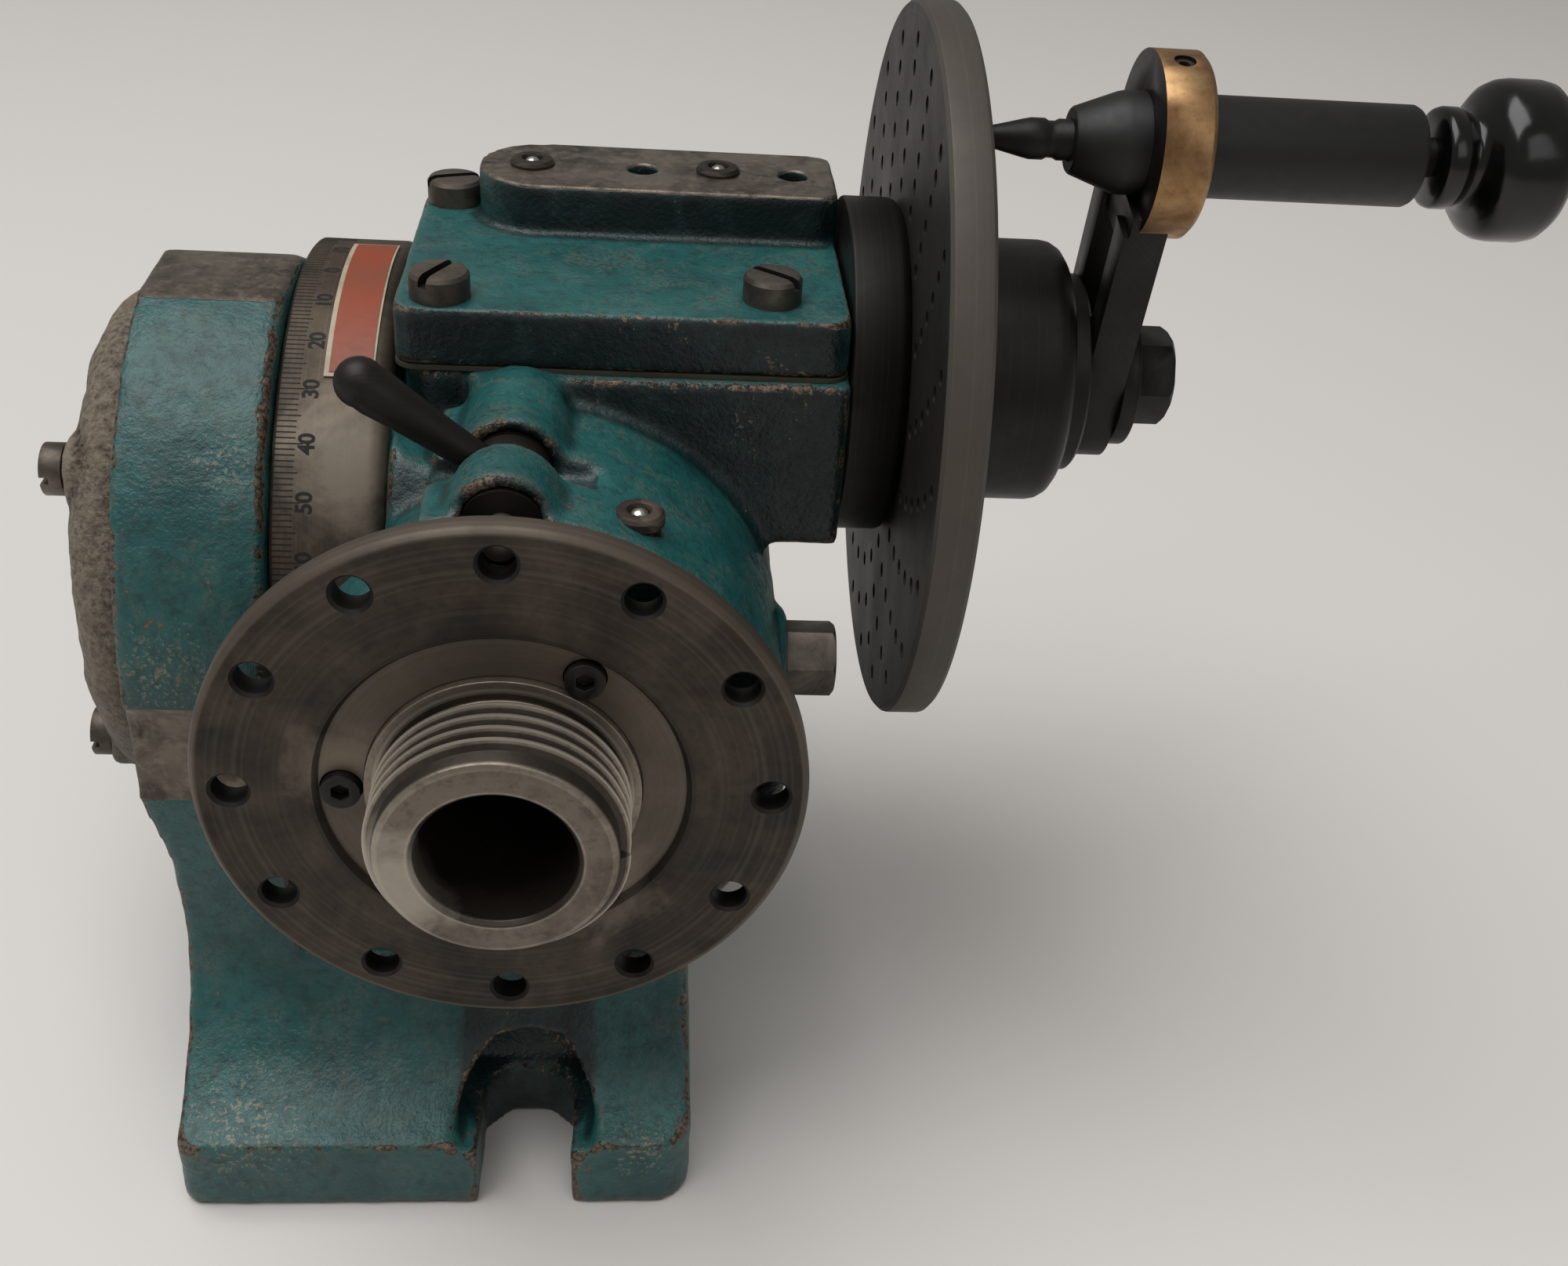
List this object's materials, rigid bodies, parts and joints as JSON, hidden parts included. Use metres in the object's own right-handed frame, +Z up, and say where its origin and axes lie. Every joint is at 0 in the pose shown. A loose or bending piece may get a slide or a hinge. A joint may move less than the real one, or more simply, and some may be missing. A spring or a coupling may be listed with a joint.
{
  "type": "dividing head",
  "caption": "Tilting dividing head for a milling machine: worm-driven spindle, index plate with crank and sprung pin, and a direct indexing plate.",
  "frame": {"origin": "on the flat underside of the base, straight below the crossing of the spindle axis and the tilt axis", "axes": "+X along the tilt axis toward the index plate, +Y along the spindle away from its nose, +Z up"},
  "size_m": [0.2796, 0.1845, 0.2158],
  "materials": {
    "casting_paint": "paint over cast iron",
    "machined_steel": "bare machined steel",
    "dark_steel": "oil-darkened steel",
    "rough_iron": "rough cast iron with rust",
    "bronze": "bearing bronze",
    "plate_orange": "enamelled metal plate",
    "black_plastic": "polished black plastic",
    "gasket": "pressed gasket board"
  },
  "bodies": {
    "base": {"base_casting": "casting_paint"},
    "head": {"swivel_drum": "machined_steel", "drum_bolts": "dark_steel", "end_cap": "rough_iron", "end_cap_screws": "rough_iron", "name_plate": "plate_orange", "head_casting": "casting_paint", "cover_gasket": "gasket", "worm_cover": "casting_paint", "cover_screws": "dark_steel", "ball_oilers": "machined_steel", "pad_screws": "dark_steel", "front_bush": "bronze", "rear_cap": "casting_paint", "rear_cap_screws": "dark_steel", "rear_bush": "bronze", "worm_left_bush": "bronze", "index_hub": "dark_steel", "index_plate": "machined_steel", "index_plate_screws": "dark_steel", "plunger_guides": "bronze", "plunger_spring": "machined_steel", "lock_bolt": "dark_steel", "lock_pad": "bronze"},
    "spindle": {"spindle": "machined_steel", "direct_plate": "dark_steel", "direct_plate_screws": "dark_steel", "spindle_nut": "dark_steel", "worm_wheel": "bronze", "wheel_key": "machined_steel"},
    "crank": {"worm_shaft": "machined_steel", "clamp_cup": "dark_steel", "spacer_disc": "dark_steel", "crank_arm": "machined_steel", "eye_grub_screw": "dark_steel", "crank_washer": "dark_steel", "crank_nut": "dark_steel", "handle_barrel": "black_plastic", "pin_spring": "machined_steel"},
    "pin": {"index_pin": "machined_steel", "pin_knob": "black_plastic"},
    "plunger": {"direct_plunger": "machined_steel"},
    "lever": {"plunger_lever": "machined_steel"}
  },
  "joints": [
    {"name": "swivel", "type": "hinge", "parent": "base", "child": "head", "pos_m": [-0.056, 0, 0.1016], "axis": [-1, 0, 0], "range_deg": [-5, 90]},
    {"name": "crank_turn", "type": "hinge", "parent": "head", "child": "crank", "pos_m": [0.06, 0, 0.145], "axis": [1, 0, 0], "continuous": true},
    {"name": "spindle_turn", "type": "hinge", "parent": "head", "child": "spindle", "pos_m": [0, -0.06, 0.1016], "axis": [0, -1, 0], "continuous": true},
    {"name": "pin_pull", "type": "slide", "parent": "crank", "child": "pin", "axis": [1, 0, 0], "range_m": [0, 0.008], "stiffness_N_per_m": 400, "springref_m": -0.012, "deforming": ["pin_spring"]},
    {"name": "lever_turn", "type": "hinge", "parent": "head", "child": "lever", "pos_m": [0, -0.05875, 0.1481], "axis": [0, 1, 0], "range_deg": [0, 110]},
    {"name": "plunger_draw", "type": "slide", "parent": "head", "child": "plunger", "axis": [0, 1, 0], "range_m": [0, 0.0066], "deforming": ["plunger_spring"]}
  ],
  "couplings": [
    {"joint": "spindle_turn", "follows": "crank_turn", "ratio": 0.025},
    {"joint": "plunger_draw", "follows": "lever_turn", "m_per_rad": 0.0033857}
  ]
}
